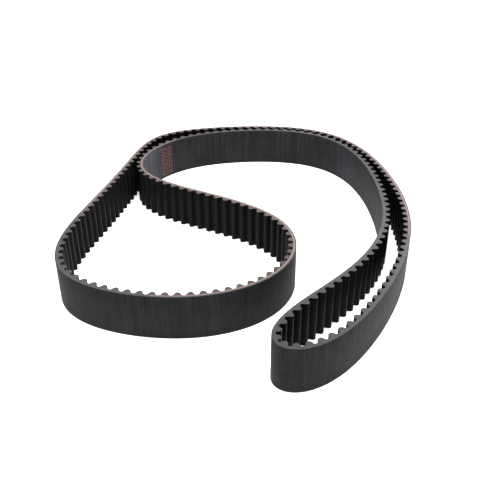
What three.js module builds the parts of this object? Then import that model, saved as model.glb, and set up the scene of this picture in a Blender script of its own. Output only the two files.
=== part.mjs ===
// Timing belt: an endless moulded rubber belt with rounded teeth on its inner side, standing on
// one edge in a C-shaped fold. Millimetres, +Z up. The origin is under the middle of the fold,
// on the surface that the belt stands on.
//
// The belt is built up in plies across its thickness, and each ply runs along eight stretches.
// The stretches meet in tooth gaps, where the belt flexes: four flex lines form a parallelogram
// in the left loop, and four form another in the narrow right loop.
import * as THREE from 'three';

// ---- Driving dimensions -------------------------------------------------------------------
const pitch = 8;
const toothCount = 207;
const beltWidth = 32;
const beltLength = pitch * toothCount;

// Depths are measured across the belt from the middle of the cords, positive towards the teeth.
const backDepth = -1.6;
const cordRadius = 0.45;
const rubberLandDepth = 0.6;
const facingThickness = 0.25;
const landDepth = rubberLandDepth + facingThickness;

// One tooth's outline from foot to crest, as half widths and heights above the land.
const toothOutline = [[3.05, 0], [1.85, 2], [0.75, 3.2]];
const toothFootHalf = toothOutline[0][0];

// Each flex line is a slit in a tooth gap, so that neighbouring stretches can turn.
const slitHalf = 0.25;
// A flat ply has a point in each tooth gap. It gets another in the middle of a tooth where the
// bend is tighter than the first radius, and two more at its sides inside the second.
const bentRadius = 60;
const tightRadius = 20;

// Plan of the fold as the control polygon of a closed cubic B-spline. It runs anticlockwise
// seen from above: left loop, reverse bend, inner arc, right loop, outer arc.
const foldPolygon = [
  [-122, -88], [-84, -113], [-28, -121], [19, -103],
  [42, -64], [32, -21], [-8, 10], [-58, 34],
  [-87, 63], [-81, 103], [-46, 137], [13, 148],
  [69, 140], [102, 102], [112, 35], [107, -36],
  [75, -89], [32, -127], [13, -156], [28, -171],
  [60, -156], [98, -102], [127, -29], [124, 50],
  [104, 119], [62, 152], [2, 155], [-54, 148],
  [-83, 127], [-93, 80], [-108, 19], [-127, -42],
];

// Tooth gap 0 lies this far along the belt from the start of the spline.
const firstGap = 4;

// Stretches between flex lines, each named with the tooth gap that it starts in.
const stretches = [
  { name: 'front_run', fromGap: 8, toGap: 23 },
  { name: 'inner_run', fromGap: 23, toGap: 37 },
  { name: 'inner_arc', fromGap: 37, toGap: 94 },
  { name: 'right_loop_inner_side', fromGap: 94, toGap: 105 },
  { name: 'right_loop_nose', fromGap: 105, toGap: 118 },
  { name: 'right_loop_outer_side', fromGap: 118, toGap: 129 },
  { name: 'outer_arc', fromGap: 129, toGap: 200 },
  { name: 'left_run', fromGap: 200, toGap: 8 + toothCount },
];

// Printed mark on the back of the inner arc, just after the reverse bend.
const mark = { start: 420, length: 13, margin: 2, thickness: 0.08 };

// ---- Materials ----------------------------------------------------------------------------
function plyMaterial(color, roughness) {
  return new THREE.MeshStandardMaterial({ color, roughness, metalness: 0 });
}
const backingRubber = plyMaterial(0x2c2c2f, 0.55);
const cordGlass = plyMaterial(0xa48f88, 0.7);
const toothRubber = plyMaterial(0x5c595a, 0.75);
const facingNylon = plyMaterial(0x131315, 0.6);
const markInk = plyMaterial(0x7d3b34, 0.7);

// ---- The fold's centre line ---------------------------------------------------------------
// A point of the closed cubic B-spline, with u counted in spans of the control polygon.
function splinePoint(u) {
  const count = foldPolygon.length;
  const span = Math.floor(u);
  const t = u - span;
  const weights = [
    (1 - t) ** 3 / 6,
    (3 * t ** 3 - 6 * t ** 2 + 4) / 6,
    (-3 * t ** 3 + 3 * t ** 2 + 3 * t + 1) / 6,
    t ** 3 / 6,
  ];
  const point = new THREE.Vector2();
  weights.forEach((weight, k) => {
    const [x, y] = foldPolygon[(span + k - 1 + count) % count];
    point.x += weight * x;
    point.y += weight * y;
  });
  return point;
}

// The spline as a fine closed polyline, scaled so that its length is the belt's pitch length.
function centreLine(stepsPerSpan = 400) {
  const points = [];
  for (let i = 0; i <= foldPolygon.length * stepsPerSpan; i += 1) {
    points.push(splinePoint((i / stepsPerSpan) % foldPolygon.length));
  }
  const lengths = [0];
  for (let i = 1; i < points.length; i += 1) {
    lengths.push(lengths[i - 1] + points[i].distanceTo(points[i - 1]));
  }
  const scale = beltLength / lengths[lengths.length - 1];
  points.forEach((point) => point.multiplyScalar(scale));
  return { points, lengths: lengths.map((length) => length * scale) };
}
const line = centreLine();

// Place and directions at a distance along the belt: along it, and across it to the teeth.
function beltFrame(distance) {
  const s = ((distance % beltLength) + beltLength) % beltLength;
  let low = 0;
  let high = line.lengths.length - 1;
  while (high - low > 1) {
    const middle = (low + high) >> 1;
    if (line.lengths[middle] <= s) low = middle;
    else high = middle;
  }
  const part = (s - line.lengths[low]) / (line.lengths[high] - line.lengths[low]);
  const point = line.points[low].clone().lerp(line.points[high], part);
  const along = line.points[high].clone().sub(line.points[low]).normalize();
  const inward = new THREE.Vector2(-along.y, along.x);
  return { point, along, inward };
}

// A point in the plan, given along the belt from a frame and across it.
function offsetPoint(frame, alongBelt, depth) {
  return frame.point.clone()
    .addScaledVector(frame.along, alongBelt)
    .addScaledVector(frame.inward, depth);
}

function bendRadius(distance) {
  const before = beltFrame(distance - 2).along;
  const after = beltFrame(distance + 2).along;
  return 4 / Math.max(Math.abs(before.cross(after)), 1e-6);
}

function gapDistance(gap) {
  return firstGap + gap * pitch;
}

// ---- Ply outlines -------------------------------------------------------------------------
// Distances along a stretch where a flat ply has points.
function flatStations(stretch) {
  const stations = [gapDistance(stretch.fromGap) + slitHalf];
  for (let gap = stretch.fromGap; gap < stretch.toGap; gap += 1) {
    const toothCentre = gapDistance(gap) + pitch / 2;
    const radius = bendRadius(toothCentre);
    if (gap > stretch.fromGap) stations.push(gapDistance(gap));
    if (radius < tightRadius) stations.push(toothCentre - toothFootHalf);
    if (radius < bentRadius) stations.push(toothCentre);
    if (radius < tightRadius) stations.push(toothCentre + toothFootHalf);
  }
  stations.push(gapDistance(stretch.toGap) - slitHalf);
  return stations;
}

function flatSide(stretch, depth) {
  return flatStations(stretch).map((s) => offsetPoint(beltFrame(s), 0, depth));
}

// The tooth's outline moved in by a skin: each corner slides along the mitre of its two sides.
function toothCorners(skin) {
  const normals = [[0, 1]];
  for (let i = 1; i < toothOutline.length; i += 1) {
    const [half, height] = toothOutline[i - 1];
    const [nextHalf, nextHeight] = toothOutline[i];
    const side = Math.hypot(nextHalf - half, nextHeight - height);
    normals.push([(nextHeight - height) / side, (half - nextHalf) / side]);
  }
  normals.push([0, 1]);
  return toothOutline.map(([half, height], i) => {
    const [ax, ay] = normals[i];
    const [bx, by] = normals[i + 1];
    const mitre = skin / (1 + ax * bx + ay * by);
    return { half: half - mitre * (ax + bx), height: height - mitre * (ay + by) };
  });
}

// The toothed side at a given skin depth: 0 is the outside of the facing, and its thickness is
// the rubber under it. A tooth's foot follows the belt, and its crown sits square to the belt.
function toothedSide(stretch, skin) {
  const corners = toothCorners(skin);
  const land = landDepth - skin;
  const side = [offsetPoint(beltFrame(gapDistance(stretch.fromGap) + slitHalf), 0, land)];
  for (let gap = stretch.fromGap; gap < stretch.toGap; gap += 1) {
    const centre = gapDistance(gap) + pitch / 2;
    const crown = beltFrame(centre);
    const corner = (sign, { half, height }, i) => {
      if (i === 0) return offsetPoint(beltFrame(centre + sign * half), 0, landDepth + height);
      return offsetPoint(crown, sign * half, landDepth + height);
    };
    side.push(...corners.map((c, i) => corner(-1, c, i)));
    side.push(...corners.map((c, i) => corner(1, c, i)).reverse());
  }
  side.push(offsetPoint(beltFrame(gapDistance(stretch.toGap) - slitHalf), 0, land));
  return side;
}

// A solid ply between its outer and inner sides, from the bottom edge to the top edge.
function plyGeometry(outerSide, innerSide, low = 0, high = beltWidth) {
  const outline = new THREE.Shape([...outerSide, ...[...innerSide].reverse()]);
  const geometry = new THREE.ExtrudeGeometry(outline, { depth: high - low, bevelEnabled: false });
  geometry.translate(0, 0, low);
  return geometry;
}

// ---- Assembly -----------------------------------------------------------------------------
const belt = new THREE.Group();
belt.name = 'timing_belt';

function addPly(name, geometry, material) {
  const mesh = new THREE.Mesh(geometry, material);
  mesh.name = name;
  belt.add(mesh);
}

for (const stretch of stretches) {
  const back = flatSide(stretch, backDepth);
  const cordsOuter = flatSide(stretch, -cordRadius);
  const cordsInner = flatSide(stretch, cordRadius);
  const rubberTeeth = toothedSide(stretch, facingThickness);
  const facingTeeth = toothedSide(stretch, 0);
  addPly(`${stretch.name}_backing`, plyGeometry(back, cordsOuter), backingRubber);
  addPly(`${stretch.name}_cords`, plyGeometry(cordsOuter, cordsInner), cordGlass);
  addPly(`${stretch.name}_teeth`, plyGeometry(cordsInner, rubberTeeth), toothRubber);
  addPly(`${stretch.name}_facing`, plyGeometry(rubberTeeth, facingTeeth), facingNylon);
}

// The ink lies on the backing's own facets, so its stations are the backing's: tooth gaps, tooth
// centres where the bend is tight, and the two ends of the mark.
function markSides() {
  const stretch = stretches.find(({ name }) => name === 'inner_arc');
  const facets = flatStations(stretch).map((s) => ({ s, point: offsetPoint(beltFrame(s), 0, backDepth) }));
  const onFacet = (s) => {
    const next = facets.findIndex((facet) => facet.s > s);
    const [a, b] = [facets[next - 1], facets[next]];
    return a.point.clone().lerp(b.point, (s - a.s) / (b.s - a.s));
  };
  const end = mark.start + mark.length;
  const inside = facets.filter(({ s }) => s > mark.start && s < end);
  const under = [onFacet(mark.start), ...inside.map(({ point }) => point), onFacet(end)];
  const stations = [mark.start, ...inside.map(({ s }) => s), end];
  const outer = under.map((point, i) => {
    return point.clone().addScaledVector(beltFrame(stations[i]).inward, -mark.thickness);
  });
  return { outer, under };
}
const { outer: markOuter, under: markUnder } = markSides();
addPly('print_mark', plyGeometry(markOuter, markUnder, mark.margin, beltWidth - mark.margin), markInk);

// Put the middle of the fold's plan over the origin.
const box = new THREE.Box3().setFromObject(belt);
const middle = box.getCenter(new THREE.Vector3());
belt.children.forEach((mesh) => mesh.geometry.translate(-middle.x, -middle.y, 0));

export default belt;
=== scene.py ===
"""Timing belt: the looks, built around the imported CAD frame. Lengths here are millimetres
until a mesh is made, and every mesh is in metres in the frame's own axes."""

import math

import bpy
import numpy as np
from mathutils import Matrix, Vector


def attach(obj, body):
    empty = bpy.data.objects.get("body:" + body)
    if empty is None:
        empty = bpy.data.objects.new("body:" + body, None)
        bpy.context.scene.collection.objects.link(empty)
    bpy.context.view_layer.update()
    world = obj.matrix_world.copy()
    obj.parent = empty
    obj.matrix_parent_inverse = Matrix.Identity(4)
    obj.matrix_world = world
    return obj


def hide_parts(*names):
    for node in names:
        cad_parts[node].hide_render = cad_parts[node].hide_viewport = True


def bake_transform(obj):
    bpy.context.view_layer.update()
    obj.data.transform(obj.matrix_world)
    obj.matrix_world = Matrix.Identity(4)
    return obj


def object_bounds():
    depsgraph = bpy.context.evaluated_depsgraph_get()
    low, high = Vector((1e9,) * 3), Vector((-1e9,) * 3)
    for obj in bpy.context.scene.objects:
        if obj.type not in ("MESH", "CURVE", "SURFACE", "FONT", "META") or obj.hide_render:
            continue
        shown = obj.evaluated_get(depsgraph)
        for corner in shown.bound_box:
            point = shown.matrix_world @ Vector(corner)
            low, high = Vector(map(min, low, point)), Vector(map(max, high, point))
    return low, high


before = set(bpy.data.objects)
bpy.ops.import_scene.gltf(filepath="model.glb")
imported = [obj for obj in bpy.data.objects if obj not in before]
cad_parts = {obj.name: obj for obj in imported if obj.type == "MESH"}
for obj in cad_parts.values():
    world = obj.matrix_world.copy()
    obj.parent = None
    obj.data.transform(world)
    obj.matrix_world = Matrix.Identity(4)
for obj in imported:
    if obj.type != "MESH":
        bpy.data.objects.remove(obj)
cad_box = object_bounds()

MM = 0.001

# ---- The belt's dimensions ----------------------------------------------------------------
PITCH = 8.0
TOOTH_COUNT = 207
LENGTH = PITCH * TOOTH_COUNT
WIDTH = (cad_box[1].z - cad_box[0].z) / MM
FIRST_GAP = 4.0

# Depths across the belt from the middle of the cords, positive towards the teeth.
BACK = -1.6
CORD_BED = 0.5
CORD_RADIUS = 0.45
LAND = 0.85
FACING = 0.25
TOOTH_HEIGHT = 3.2
CROWN_RADIUS = 2.0
FLANK_ANGLE = 28.0
FOOT_FILLET = 0.9
EDGE_ROUND = 0.2  # the rounding of the backing's corners
FOOT_ZONE = 1.2  # the height over which a tooth passes from the bent belt to its own square shape

# The fold's plan: control polygon of a closed cubic B-spline, anticlockwise from above.
FOLD_POLYGON = [
    (-122, -88), (-84, -113), (-28, -121), (19, -103),
    (42, -64), (32, -21), (-8, 10), (-58, 34),
    (-87, 63), (-81, 103), (-46, 137), (13, 148),
    (69, 140), (102, 102), (112, 35), (107, -36),
    (75, -89), (32, -127), (13, -156), (28, -171),
    (60, -156), (98, -102), (127, -29), (124, 50),
    (104, 119), (62, 152), (2, 155), (-54, 148),
    (-83, 127), (-93, 80), (-108, 19), (-127, -42),
]

# Stretches of the visual belt. Each is centred on a flex line, or rides on the arcs. Gaps are
# tooth gaps along the belt. "flex" is the gap of the flex line, and "half" is a length along the
# belt on each side of it. The first of two bodies is the one before the line.
STRETCHES = [
    {"name": "left_run", "gaps": (190, 208), "flex": 200, "half": 24.0,
     "bodies": ("arcs", "left_run")},
    {"name": "front_run", "gaps": (1, 23), "flex": 8, "half": 24.0,
     "bodies": ("left_run", "front_run")},
    {"name": "inner_run", "gaps": (23, 47), "flex": 37, "half": 24.0,
     "bodies": ("inner_run", "arcs")},
    {"name": "inner_arc", "gaps": (47, 87), "flex": None, "bodies": ("arcs",)},
    {"name": "right_loop_inner_side", "gaps": (87, 99), "flex": 94, "half": 14.0,
     "bodies": ("arcs", "right_loop_inner_side")},
    {"name": "right_loop_nose", "gaps": (99, 118), "flex": 105, "half": 14.0,
     "bodies": ("right_loop_inner_side", "right_loop_nose")},
    {"name": "right_loop_outer_side", "gaps": (118, 136), "flex": 129, "half": 14.0,
     "bodies": ("right_loop_outer_side", "arcs")},
    {"name": "outer_arc", "gaps": (136, 190), "flex": None, "bodies": ("arcs",)},
]


# ---- The fold's centre line ---------------------------------------------------------------
SPAN_STEPS = 400


def spline():
    """Points of the closed B-spline and their distances along it, scaled to the pitch length."""
    polygon = np.array(FOLD_POLYGON, float)
    t = np.linspace(0, 1, SPAN_STEPS, endpoint=False)[:, None]
    weights = ((1 - t) ** 3, 3 * t ** 3 - 6 * t ** 2 + 4,
               -3 * t ** 3 + 3 * t ** 2 + 3 * t + 1, t ** 3)
    spans = []
    for i in range(len(polygon)):
        corners = [polygon[(i + k - 1) % len(polygon)] for k in range(4)]
        spans.append(sum(w * c for w, c in zip(weights, corners)) / 6)
    points = np.concatenate(spans + [spans[0][:1]])
    distance = np.r_[0, np.cumsum(np.linalg.norm(np.diff(points, axis=0), axis=1))]
    scale = LENGTH / distance[-1]
    return points * scale, distance * scale


LINE, DISTANCE = spline()
ALONG = np.roll(LINE[:-1], -1, 0) - np.roll(LINE[:-1], 1, 0)
ALONG = np.vstack([ALONG, ALONG[:1]])
ALONG /= np.linalg.norm(ALONG, axis=1)[:, None]
INWARD = np.c_[-ALONG[:, 1], ALONG[:, 0]]
OUTLINE = LINE + BACK * INWARD
CENTRE = (OUTLINE.min(0) + OUTLINE.max(0)) / 2 - [
    (cad_box[0][k] + cad_box[1][k]) / 2 / MM for k in range(2)]


def belt_at(s):
    """Place, direction along and direction inward at distances s."""
    s = np.asarray(s, float) % LENGTH

    def pick(table):
        return np.c_[np.interp(s, DISTANCE, table[:, 0]), np.interp(s, DISTANCE, table[:, 1])]

    return pick(LINE) - CENTRE, pick(ALONG), pick(INWARD)


def gap_at(gap):
    """The distance along the belt of the middle of a tooth gap."""
    return FIRST_GAP + gap * PITCH


# ---- Rails --------------------------------------------------------------------------------
FILLET_POINTS = 6
CROWN_POINTS = 8
LEVEL_RISE = 0.4 * EDGE_ROUND  # faces that rise less than this count as level
CREASE_ANGLE = 32.0  # sharper edges than this are shaded as edges


# A rail is one long edge of a ply: its points in space, and beside each point its place in the
# belt's own coordinates, (along, across, height), which the materials use.
def flat_rail(s, depth, z):
    """A rail at a depth and height that may be one number or one for each distance in s."""
    place, _, inward = belt_at(s)
    depth = np.broadcast_to(depth, s.shape)
    z = np.broadcast_to(z, s.shape)
    return np.c_[place + depth[:, None] * inward, z], np.c_[s, depth, z]


def tooth_profile(skin):
    """Half a tooth's outline from land to crown, as (along, height) pairs. The skin is how far
    under the facing's outside it runs. A straight flank joins the foot's fillet to the crown."""
    flank = math.radians(FLANK_ANGLE)
    crown_height = TOOTH_HEIGHT - CROWN_RADIUS
    reach = CROWN_RADIUS / math.cos(flank) + crown_height * math.tan(flank)
    foot = reach + FOOT_FILLET * math.tan((math.pi / 2 - flank) / 2)
    fillet, crown = FOOT_FILLET + skin, CROWN_RADIUS - skin
    pairs = []
    for a in np.linspace(-math.pi / 2, -math.pi + flank, FILLET_POINTS):
        pairs.append((foot + fillet * math.cos(a), FOOT_FILLET + fillet * math.sin(a)))
    for a in np.linspace(flank, math.pi / 2, CROWN_POINTS):
        pairs.append((crown * math.cos(a), crown_height + crown * math.sin(a)))
    return pairs


def tooth_rail(gaps, skin, z):
    """The toothed side between two gaps at a height, or the same a little inside its skin."""
    half = tooth_profile(skin)
    pairs = [(-u, h) for u, h in half] + [(u, h) for u, h in half[-2::-1]]
    u, h = np.array(pairs).T
    places, coords = [], []

    def add(place, s, depth):
        height = np.full(len(place), z)
        places.append(np.c_[place, height])
        coords.append(np.c_[s, depth, height])

    def add_land(gap):
        middle = np.array([gap_at(gap)])
        place, _, inward = belt_at(middle)
        add(place + (LAND - skin) * inward, middle, [LAND - skin])

    for gap in range(*gaps):
        add_land(gap)
        # The foot follows the belt's bend, and the crown is square to it.
        centre = gap_at(gap) + PITCH / 2
        own, _, own_in = belt_at(centre + u)
        bent = own + (LAND + h)[:, None] * own_in
        mid, along, inward = belt_at(np.array([centre]))
        square = mid + u[:, None] * along + (LAND + h)[:, None] * inward
        share = np.clip(h / FOOT_ZONE, 0, 1)[:, None]
        add(bent * (1 - share) + square * share, centre + u, LAND + h)
    add_land(gaps[1])
    return np.concatenate(places), np.concatenate(coords)


def loft(name, rails, materials):
    """A closed solid whose long edges are the rails, in order round its section. Where there is
    a second material, the faces that are level, or nearly, take it."""
    count = len(rails[0][0])
    verts = np.concatenate([places for places, _ in rails]) * MM
    coords = np.concatenate([coords for _, coords in rails])
    faces, level = [], []
    for k in range(len(rails)):
        after = (k + 1) % len(rails)
        a, b = k * count, after * count
        rise = abs(rails[k][1][0][2] - rails[after][1][0][2])
        for i in range(count - 1):
            faces.append((a + i, a + i + 1, b + i + 1, b + i))
            level.append(rise < LEVEL_RISE)
    faces.append(tuple(k * count for k in range(len(rails))))
    faces.append(tuple((k + 1) * count - 1 for k in reversed(range(len(rails)))))
    level += [False, False]
    mesh = bpy.data.meshes.new(name)
    mesh.from_pydata([tuple(v) for v in verts], [], faces)
    for material in materials:
        mesh.materials.append(material)
    mesh.polygons.foreach_set("use_smooth", np.ones(len(faces), bool))
    if len(materials) > 1:
        mesh.polygons.foreach_set("material_index", np.array(level, np.int32))
    attribute = mesh.attributes.new("belt", "FLOAT_VECTOR", "POINT")
    attribute.data.foreach_set("vector", np.asarray(coords, np.float32).ravel())
    mesh.validate()
    mesh.set_sharp_from_angle(angle=math.radians(CREASE_ANGLE))
    obj = bpy.data.objects.new(name, mesh)
    bpy.context.scene.collection.objects.link(obj)
    return obj


# ---- Materials ----------------------------------------------------------------------------
# Colours are linear, and bump distances are in metres. A noise's scale is in waves per mm along
# the belt, across its thickness and up its width.
class Nodes:
    """A small helper that builds one node material."""

    def __init__(self, name):
        self.material = bpy.data.materials.new(name)
        self.material.use_nodes = True
        self.tree = self.material.node_tree
        self.shader = self.tree.nodes["Principled BSDF"]

    def add(self, kind, **values):
        node = self.tree.nodes.new(kind)
        for key, value in values.items():
            setattr(node, key, value)
        return node

    def link(self, source, target):
        self.tree.links.new(source, target)

    def feed(self, value, socket):
        """Sets the socket to a number, or links an output to it."""
        if isinstance(value, (int, float)):
            socket.default_value = value
        else:
            self.link(value, socket)

    def belt(self, scale):
        """The belt's own coordinates in mm, scaled along, across and up."""
        place = self.add("ShaderNodeAttribute", attribute_name="belt")
        mapping = self.add("ShaderNodeMapping")
        mapping.inputs["Scale"].default_value = scale
        self.link(place.outputs["Vector"], mapping.inputs["Vector"])
        return mapping.outputs["Vector"]

    def fraction_along(self):
        """How far round the belt a point is, from 0 to 1."""
        return self.split(self.belt((1 / LENGTH, 1, 1)), "X")

    def noise(self, scale, detail=4.0, rough=0.55):
        node = self.add("ShaderNodeTexNoise")
        node.inputs["Scale"].default_value = 1.0
        node.inputs["Detail"].default_value = detail
        node.inputs["Roughness"].default_value = rough
        self.link(self.belt(scale), node.inputs["Vector"])
        return node.outputs["Fac"]

    def bands(self, direction, belt_scale, size, distortion):
        node = self.add("ShaderNodeTexWave", wave_type="BANDS", bands_direction=direction)
        node.inputs["Scale"].default_value = size
        node.inputs["Distortion"].default_value = distortion
        self.link(self.belt(belt_scale), node.inputs["Vector"])
        return node.outputs["Fac"]

    def split(self, vector, axis):
        node = self.add("ShaderNodeSeparateXYZ")
        self.link(vector, node.inputs[0])
        return node.outputs[axis]

    def ramp(self, factor, stops):
        node = self.add("ShaderNodeValToRGB")
        elements = node.color_ramp.elements
        while len(elements) < len(stops):
            elements.new(0.5)
        for element, (position, color) in zip(elements, stops):
            element.position = position
            element.color = (*color, 1)
        self.link(factor, node.inputs["Fac"])
        return node.outputs["Color"]

    def grey_ramp(self, factor, low, high, start=0.3, end=0.7):
        return self.ramp(factor, [(start, (low,) * 3), (end, (high,) * 3)])

    def mix(self, mode, factor, a, b):
        node = self.add("ShaderNodeMix", data_type="RGBA", blend_type=mode)
        self.feed(factor, node.inputs[0])
        self.link(a, node.inputs[6])
        self.link(b, node.inputs[7])
        return node.outputs[2]

    def math(self, operation, a, b):
        node = self.add("ShaderNodeMath", operation=operation)
        self.link(a, node.inputs[0])
        self.link(b, node.inputs[1])
        return node.outputs[0]

    def bump(self, height, distance, strength=1.0, normal=None):
        node = self.add("ShaderNodeBump")
        node.inputs["Strength"].default_value = strength
        node.inputs["Distance"].default_value = distance
        self.link(height, node.inputs["Height"])
        if normal is not None:
            self.link(normal, node.inputs["Normal"])
        return node.outputs["Normal"]

    def finish(self, color, rough, normal, specular):
        self.link(color, self.shader.inputs["Base Color"])
        self.feed(rough, self.shader.inputs["Roughness"])
        self.link(normal, self.shader.inputs["Normal"])
        self.shader.inputs["Specular IOR Level"].default_value = specular
        return self.material


def backing_material():
    """Ground rubber back: near black, with faint streaks across the width and fine grain. A
    lighter, bluish painted sheen lies on some stretches along the belt, strongest where it bends
    the other way."""
    n = Nodes("backing_rubber")
    streaks = n.noise((0.28, 0.2, 0.01), detail=4, rough=0.55)
    fine = n.noise((1.1, 0.5, 0.05), detail=4, rough=0.65)
    cloud = n.noise((0.03, 0.03, 0.06), detail=3)
    grain = n.noise((2.4, 2.4, 1.2), detail=3, rough=0.7)
    unsheened_tone = n.ramp(streaks, [(0.34, (0.0136, 0.0134, 0.0148)), (0.68, (0.0226, 0.0222, 0.0246))])
    # The painted sheen: a lighter, bluish tone standing in for reflected light, laid on by its
    # share along the belt.
    painted_sheen_tone = n.ramp(streaks, [(0.34, (0.047, 0.0465, 0.055)), (0.68, (0.066, 0.065, 0.077))])
    painted_sheen_share = n.ramp(n.fraction_along(), [(at, (share,) * 3) for at, share in PAINTED_SHEEN])
    color = n.mix("MIX", painted_sheen_share, unsheened_tone, painted_sheen_tone)
    color = n.mix("MULTIPLY", 0.7, color, n.grey_ramp(fine, 0.5, 1.5))
    color = n.mix("MULTIPLY", 0.6, color, n.grey_ramp(cloud, 0.65, 1.3))
    color = n.mix("MULTIPLY", 0.85, color, n.grey_ramp(grain, 0.45, 1.55))
    rough = n.math("ADD", n.grey_ramp(streaks, 0.54, 0.63), n.grey_ramp(grain, -0.04, 0.08))
    normal = n.bump(streaks, 0.00012)
    normal = n.bump(fine, 0.0001, normal=normal)
    normal = n.bump(grain, 0.00006, normal=normal)
    return n.finish(color, rough, normal, specular=0.14)


def cut_material(name, low, high, tint):
    """Rubber where the belt was cut from its sleeve: matt grey and dusty, with fine knife lines,
    and warmer where cord dust has been smeared along the edge. Low and high are its greys where
    the dust is lightest."""
    n = Nodes(name)
    lines = n.noise((0.2, 6.0, 1.0), detail=3)
    patches = n.noise((0.25, 1.0, 0.5), detail=5, rough=0.7)
    grain = n.noise((2.2, 3.0, 3.0), detail=3, rough=0.7)
    dark, light = (tuple(grey * t for t in tint) for grey in (low, high))
    color = n.ramp(patches, [(0.3, dark), (0.7, light)])
    color = n.mix("MULTIPLY", 0.7, color, n.grey_ramp(lines, 0.6, 1.35))
    color = n.mix("MULTIPLY", 0.9, color, n.grey_ramp(grain, 0.3, 1.65))
    color = n.mix("MULTIPLY", 1.0, color, n.ramp(n.fraction_along(), dust_stops()))
    normal = n.bump(lines, 0.00006)
    normal = n.bump(grain, 0.00008, normal=normal)
    return n.finish(color, 0.62, normal, specular=0.3)


def cord_material():
    """Twisted glass cord with its pink-tan treatment, sliced along its length at the edge."""
    n = Nodes("glass_cord")
    twist = n.bands("DIAGONAL", (1.0, 6.0, 6.0), size=0.35, distortion=2.0)
    fray = n.noise((1.2, 5.0, 5.0), detail=4)
    color = n.ramp(fray, [(0.25, (0.17, 0.105, 0.098)), (0.5, (0.27, 0.19, 0.178)),
                          (0.8, (0.36, 0.29, 0.275))])
    color = n.mix("MULTIPLY", 0.4, color, n.grey_ramp(twist, 0.6, 1.2, start=0.1, end=0.9))
    normal = n.bump(twist, 0.00008)
    return n.finish(color, 0.65, normal, specular=0.3)


def facing_material():
    """Black woven nylon over the teeth."""
    n = Nodes("facing_nylon")
    weft = n.bands("X", (3.2, 0.0, 0.2), size=0.32, distortion=0.3)
    warp = n.bands("Z", (0.2, 0.0, 2.6), size=0.32, distortion=0.3)
    weave = n.math("MAXIMUM", weft, warp)
    wear = n.noise((0.3, 0.6, 0.02), detail=4)
    color = n.ramp(wear, [(0.3, (0.004, 0.004, 0.0042)), (0.75, (0.0085, 0.0085, 0.0089))])
    color = n.mix("MULTIPLY", 0.5, color, n.grey_ramp(weave, 0.5, 1.2, start=0.1, end=0.9))
    rough = n.grey_ramp(wear, 0.36, 0.48)
    normal = n.bump(weave, 0.00003, strength=0.4)
    return n.finish(color, rough, normal, specular=0.1)


def ink_material():
    """Faded red-brown ink, worn through to the rubber in small specks."""
    n = Nodes("mark_ink")
    wear = n.noise((1.6, 1.6, 1.6), detail=5, rough=0.7)
    color = n.ramp(wear, [(0.3, (0.04, 0.024, 0.021)), (0.5, (0.13, 0.06, 0.051)),
                          (0.8, (0.23, 0.115, 0.098))])
    normal = n.bump(wear, 0.00003)
    return n.finish(color, 0.6, normal, specular=0.2)


# Painted sheen on the back, a lighter bluish tone standing in for reflected light: its share of
# the surface at fractions of the belt's length.
PAINTED_SHEEN = [(0.0, 0.05), (0.04, 0.03), (0.05, 0.0), (0.222, 0.0), (0.234, 0.9), (0.248, 0.9),
         (0.258, 0.2), (0.27, 0.12), (0.31, 0.09), (0.345, 0.06), (0.372, 0.32), (0.39, 0.2),
         (0.41, 0.04), (0.44, 0.0), (0.98, 0.04)]

# Dust on the cut edges at fractions of the belt's length: how light it is, out of DUST_LIGHTEST,
# and how warm, from -1 for bluish to 1 for pinkish.
DUST_LIGHTEST = 1.5
DUST_REDDENS = 0.12
DUST_DULLS_GREEN = 0.03
DUST_DULLS_BLUE = 0.07
DUST = [(0.0, 1.0, 0.2), (0.09, 1.02, 0.6), (0.145, 1.4, 1.0), (0.22, 1.4, 1.0),
        (0.28, 1.0, 0.2), (0.33, 1.3, 0.0), (0.38, 1.05, -0.3), (0.45, 1.28, -0.3),
        (0.5, 1.0, -0.2), (0.55, 0.72, -0.4), (0.6, 1.0, -0.2), (0.66, 1.48, 0.7),
        (0.93, 1.42, 0.8), (0.98, 1.02, 0.2)]


def dust_stops():
    """The dust as colour stops, scaled so that no stop is lighter than white."""
    stops = []
    for at, light, warm in DUST:
        tint = (1 + DUST_REDDENS * max(warm, 0), 1 - DUST_DULLS_GREEN * abs(warm),
                1 - DUST_DULLS_BLUE * warm)
        stops.append((at, tuple(light / DUST_LIGHTEST / (1 + DUST_REDDENS) * c for c in tint)))
    return stops


BACKING = backing_material()
CUT_BACKING = cut_material("backing_cut_edge", 0.076, 0.143, (1.0, 0.99, 1.01))
CUT_TOOTH = cut_material("tooth_cut_edge", 0.072, 0.138, (1.0, 0.985, 0.99))
CUT_NYLON = cut_material("facing_cut_edge", 0.059, 0.118, (1.0, 0.985, 0.98))
CORD_BED_RUBBER = cut_material("cord_bed", 0.085, 0.15, (1.02, 0.98, 0.98))
CORD = cord_material()
NYLON = facing_material()
INK = ink_material()


# ---- Plies --------------------------------------------------------------------------------
STATION_STEP = 1.0
CORD_BED_SUNK = 0.015  # how far the cord bed lies under the cut edges, so that no faces coincide
FACING_ROUND = 0.05
CORNER_BULGE = 0.3  # how far a rounded corner's middle rail is from each face, out of EDGE_ROUND


def flat_stations(gaps):
    start, end = gap_at(gaps[0]), gap_at(gaps[1])
    return np.linspace(start, end, round((end - start) / STATION_STEP) + 1)


def flat_ply(name, gaps, section, materials):
    """A ply of even section, given as (depth, height) corners in order round it."""
    s = flat_stations(gaps)
    return loft(name, [flat_rail(s, depth, z) for depth, z in section], materials)


def backing_ply(name, gaps):
    off = CORNER_BULGE * EDGE_ROUND
    foot = [(BACK + EDGE_ROUND, 0.0), (BACK + off, off), (BACK, EDGE_ROUND)]
    top = [(depth, WIDTH - z) for depth, z in reversed(foot)]
    section = [(-CORD_BED, 0.0), *foot, *top, (-CORD_BED, WIDTH)]
    return flat_ply(name + ".backing_rubber", gaps, section, [BACKING, CUT_BACKING])


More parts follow.
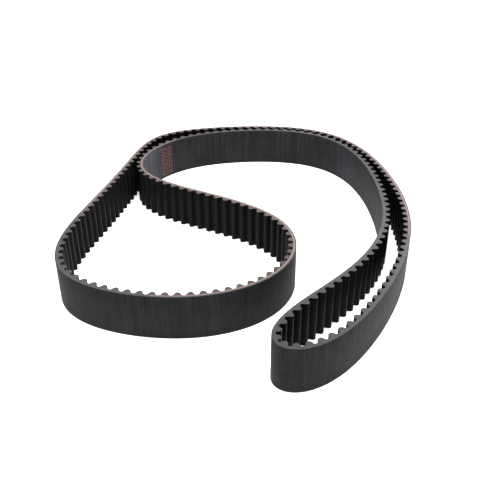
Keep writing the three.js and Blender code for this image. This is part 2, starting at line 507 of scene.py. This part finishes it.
def cord_bed_ply(name, gaps):
    low, high = CORD_BED_SUNK, WIDTH - CORD_BED_SUNK
    section = [(CORD_BED, low), (-CORD_BED, low), (-CORD_BED, high), (CORD_BED, high)]
    return flat_ply(name + ".cord_bed", gaps, section, [CORD_BED_RUBBER])


def tooth_ply(name, gaps):
    low, high = tooth_rail(gaps, FACING, 0.0), tooth_rail(gaps, FACING, WIDTH)
    s = low[1][:, 0]
    rails = [low, flat_rail(s, CORD_BED, 0.0), flat_rail(s, CORD_BED, WIDTH), high]
    return loft(name + ".tooth_rubber", rails, [CUT_TOOTH])


def facing_ply(name, gaps):
    r = FACING_ROUND
    section = [(0.0, r), (r, 0.0), (FACING, 0.0), (FACING, WIDTH), (r, WIDTH), (0.0, WIDTH - r)]
    rails = [tooth_rail(gaps, skin, z) for skin, z in section]
    return loft(name + ".facing_nylon", rails, [NYLON, CUT_NYLON])


# Where the wound cords meet each cut edge: the middle of each place and half its length. The
# cord comes out of the rubber at one end and runs off the edge at the other.
TOP_CORDS = ((255.0, 185.0), (1328.0, 255.0))
FOOT_CORDS = ((760.0, 240.0), (1590.0, 170.0))
# How far the cord's middle has left the cut plane where it ends, as a share of its radius.
CORD_RUN_OUT = 0.8
CORD_ARC_POINTS = 11
CORD_FEWEST_STATIONS = 3


def edge_cord(name, gaps, middle, half, top):
    """The length of cord that the edge's cut plane slices open within a stretch, or None. Its
    section is the part of the circle under the cut plane, closed by a chord in that plane."""
    s = flat_stations(gaps)
    offset = (s - middle + LENGTH / 2) % LENGTH - LENGTH / 2
    inside = np.abs(offset) < half
    if inside.sum() < CORD_FEWEST_STATIONS:
        return None
    s, offset = s[inside], offset[inside]
    depth = CORD_RUN_OUT * CORD_RADIUS * (offset / half) ** 3
    cut_angle = np.arcsin(-depth / CORD_RADIUS)
    rails = []
    for share in np.linspace(0, 1, CORD_ARC_POINTS):
        a = (math.pi - cut_angle) * (1 - share) + (2 * math.pi + cut_angle) * share
        under = np.minimum(CORD_RADIUS * np.sin(a) + depth, 0)
        rails.append(flat_rail(s, CORD_RADIUS * np.cos(a), WIDTH + under if top else -under))
    if top:
        rails.reverse()
    return loft(name + ".cord", rails, [CORD])


def join(objs, name):
    """One object from those that aren't None, or None if all are."""
    objs = [o for o in objs if o is not None]
    if not objs:
        return None
    if len(objs) > 1:
        chosen = {"active_object": objs[0], "object": objs[0], "selected_editable_objects": objs}
        with bpy.context.temp_override(**chosen):
            bpy.ops.object.join()
    objs[0].name = name
    return objs[0]


def place(piece, stretch, node, slot):
    """Rides the piece on the arcs, or leaves one that crosses a flex line where it was built, on
    no body. A piece with no node of its own lies in the space of one that another piece replaces."""
    if stretch["flex"] is None:
        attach(piece, stretch["bodies"][0])
    else:
        at, along, _ = belt_at(np.array([gap_at(stretch["flex"])]))
        at = Vector((*at[0], WIDTH / 2)) * MM
        along = Vector((*along[0], 0)) * stretch["half"] * MM
        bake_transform(piece)
    if node:
        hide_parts(node)


for stretch in STRETCHES:
    name, gaps = stretch["name"], stretch["gaps"]
    place(backing_ply(name, gaps), stretch, name + "_backing", "backing_rubber")
    place(cord_bed_ply(name, gaps), stretch, name + "_cords", "glass_cord")
    slices = [edge_cord(name, gaps, *where, top=True) for where in TOP_CORDS]
    slices += [edge_cord(name, gaps, *where, top=False) for where in FOOT_CORDS]
    cords = join(slices, name + ".glass_cords")
    if cords:
        place(cords, stretch, None, "glass_cord")
    place(tooth_ply(name, gaps), stretch, name + "_teeth", "tooth_rubber")
    place(facing_ply(name, gaps), stretch, name + "_facing", "facing_nylon")


# ---- Printed mark -------------------------------------------------------------------------
MARK_START = 420.2
MARK_LANES = 5
MARK_LANE_PITCH = 2.75
MARK_LANE_WIDTH = 1.9
MARK_THICKNESS = 0.05
MARK_SUNK = 0.02
MARK_FOOT = 2.0
MARK_FOOT_SPREAD = 0.8
MARK_LAST_START = WIDTH - 3.0
MARK_HEAD = WIDTH - 1.8
MARK_SEED = 7
DASH_LENGTHS = (1.0, 1.6, 2.2)
DASH_SPACES = (0.8, 1.1, 1.4)


def printed_mark():
    """Lanes of plain ink dashes up the belt's width, with no lettering."""
    rng = np.random.default_rng(MARK_SEED)
    dashes = []
    for lane in range(MARK_LANES):
        start = MARK_START + lane * MARK_LANE_PITCH
        z = MARK_FOOT + rng.uniform(0, MARK_FOOT_SPREAD)
        while z < MARK_LAST_START:
            length = rng.choice(DASH_LENGTHS)
            dashes.append(ink_dash(start, z, min(z + length, MARK_HEAD)))
            z += length + rng.choice(DASH_SPACES)
    return join(dashes, "printed_mark")


def ink_dash(start, low, high):
    s = np.linspace(start, start + MARK_LANE_WIDTH, 3)
    under, over = BACK + MARK_SUNK, BACK - MARK_THICKNESS
    section = [(under, low), (over, low), (over, high), (under, high)]
    return loft("ink_dash", [flat_rail(s, depth, z) for depth, z in section], [INK])


mark = printed_mark()
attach(mark, "arcs")
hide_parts("print_mark")


# ---- Studio -------------------------------------------------------------------------------
FLOOR_HALF = 6.0
FLOOR_DROP = 0.0002  # keeps the floor just clear of the lower cut edge
FLOOR_GLOW = 0.4
WORLD_STRENGTH = 0.9
LIGHT_TARGET = (0, 0, 0.02)
# Name, place, size and watts of each light.
LIGHTS = [
    ("top", (0.02, -0.1, 0.7), (0.6, 0.6), 8),
    ("right", (1.0, 0.75, 0.35), (0.9, 0.5), 16),
]
DISPLAY_GAMMA = 0.85


def floor():
    """A white floor, faintly luminous so that it reads as the photo's plain background."""
    h = FLOOR_HALF
    mesh = bpy.data.meshes.new("floor")
    mesh.from_pydata([(-h, -h, 0), (h, -h, 0), (h, h, 0), (-h, h, 0)], [], [(0, 1, 2, 3)])
    obj = bpy.data.objects.new("floor", mesh)
    bpy.context.scene.collection.objects.link(obj)
    material = bpy.data.materials.new("floor_white")
    material.use_nodes = True
    inputs = material.node_tree.nodes["Principled BSDF"].inputs
    inputs["Base Color"].default_value = (0.9, 0.9, 0.9, 1)
    inputs["Roughness"].default_value = 0.9
    inputs["Specular IOR Level"].default_value = 0.2
    inputs["Emission Color"].default_value = (1, 1, 1, 1)
    inputs["Emission Strength"].default_value = FLOOR_GLOW
    mesh.materials.append(material)
    obj.location.z = -FLOOR_DROP


def soft_light(name, place, size, energy):
    data = bpy.data.lights.new(name, "AREA")
    data.shape = "RECTANGLE"
    data.size, data.size_y = size
    data.energy = energy
    obj = bpy.data.objects.new(name, data)
    obj.location = place
    aim = Vector(LIGHT_TARGET) - Vector(place)
    obj.rotation_euler = aim.to_track_quat("-Z", "Y").to_euler()
    bpy.context.scene.collection.objects.link(obj)


def studio():
    world = bpy.data.worlds.new("studio")
    bpy.context.scene.world = world
    world.use_nodes = True
    background = world.node_tree.nodes["Background"]
    background.inputs["Color"].default_value = (1, 1, 1, 1)
    background.inputs["Strength"].default_value = WORLD_STRENGTH
    for light in LIGHTS:
        soft_light(*light)


def camera():
    """31.4 degrees down, 0.53 m away, on a 51 mm lens."""
    down = 0.5479
    distance = 0.5325
    roll = -0.0087
    data = bpy.data.cameras.new("camera")
    data.sensor_width = 36
    data.lens = 51.27
    data.clip_start = 0.01
    forward = Vector((0, math.cos(down), -math.sin(down)))
    right = Vector((1, 0, 0))
    up = right.cross(forward)
    rolled_right = math.cos(roll) * right + math.sin(roll) * up
    rolled_up = -math.sin(roll) * right + math.cos(roll) * up
    turn = Matrix((rolled_right, rolled_up, -forward)).transposed().to_4x4()
    obj = bpy.data.objects.new("camera", data)
    bpy.context.scene.collection.objects.link(obj)
    aim = Vector((-CENTRE[0], -CENTRE[1], 0)) * MM
    obj.matrix_world = Matrix.Translation(aim - forward * distance) @ turn
    bpy.context.scene.camera = obj


floor()
studio()
camera()
bpy.context.scene.view_settings.view_transform = "Standard"
bpy.context.scene.view_settings.gamma = DISPLAY_GAMMA
